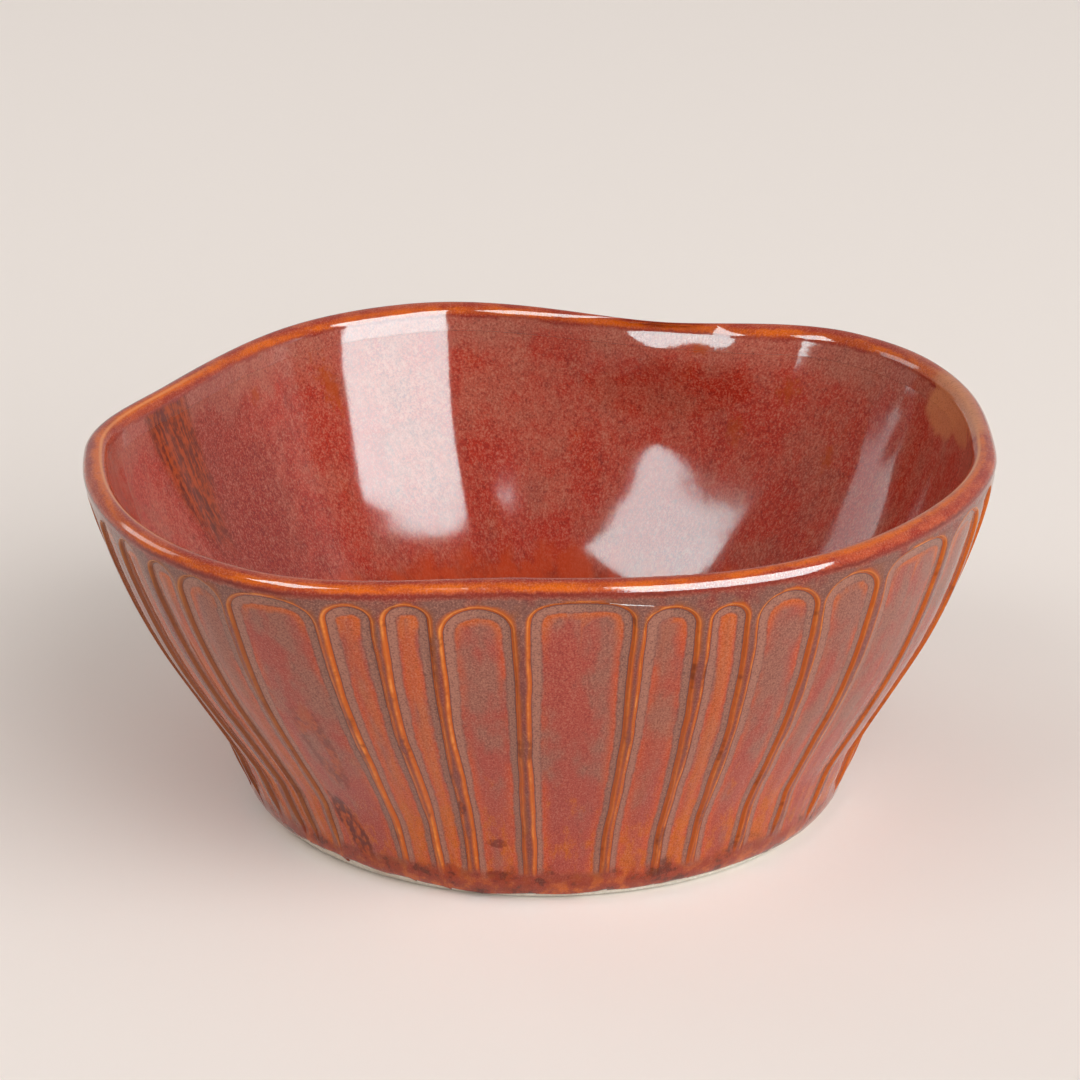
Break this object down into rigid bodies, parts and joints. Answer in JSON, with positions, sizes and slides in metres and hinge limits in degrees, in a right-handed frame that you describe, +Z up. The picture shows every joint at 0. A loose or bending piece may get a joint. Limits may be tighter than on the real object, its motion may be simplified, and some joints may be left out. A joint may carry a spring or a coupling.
{
  "type": "fluted bowl",
  "caption": "Stoneware bowl with upright hand-cut flutes, a softly pushed-in uneven rim, a glossy red-brown glaze, an amber lip and a bare clay foot ring.",
  "frame": {"origin": "on the surface the bowl stands on, under the middle of the bowl's bounding box; the foot ring's centre lies 0.5 mm towards +X and 3.4 mm towards -Y from it, because the rim is uneven", "axes": "+Z up, out of the bowl's mouth; -Y towards the viewer of the picture, where the rim's front dent is"},
  "size_m": [0.1586, 0.1612, 0.0658],
  "materials": {
    "clay": "bare fired stoneware, pale buff, matt",
    "outer_glaze": "glossy purple-brown and brick-red glaze, amber where it breaks over the edges of the flutes",
    "rim_glaze": "glossy amber glaze, thin over the lip",
    "inner_glaze": "glossy deep maroon glaze with fine grey-beige speckle, darker where it pools"
  },
  "bodies": {
    "root": {"clay_body": "clay", "outer_glaze": "outer_glaze", "rim_glaze": "rim_glaze", "inner_glaze": "inner_glaze"}
  },
  "joints": []
}
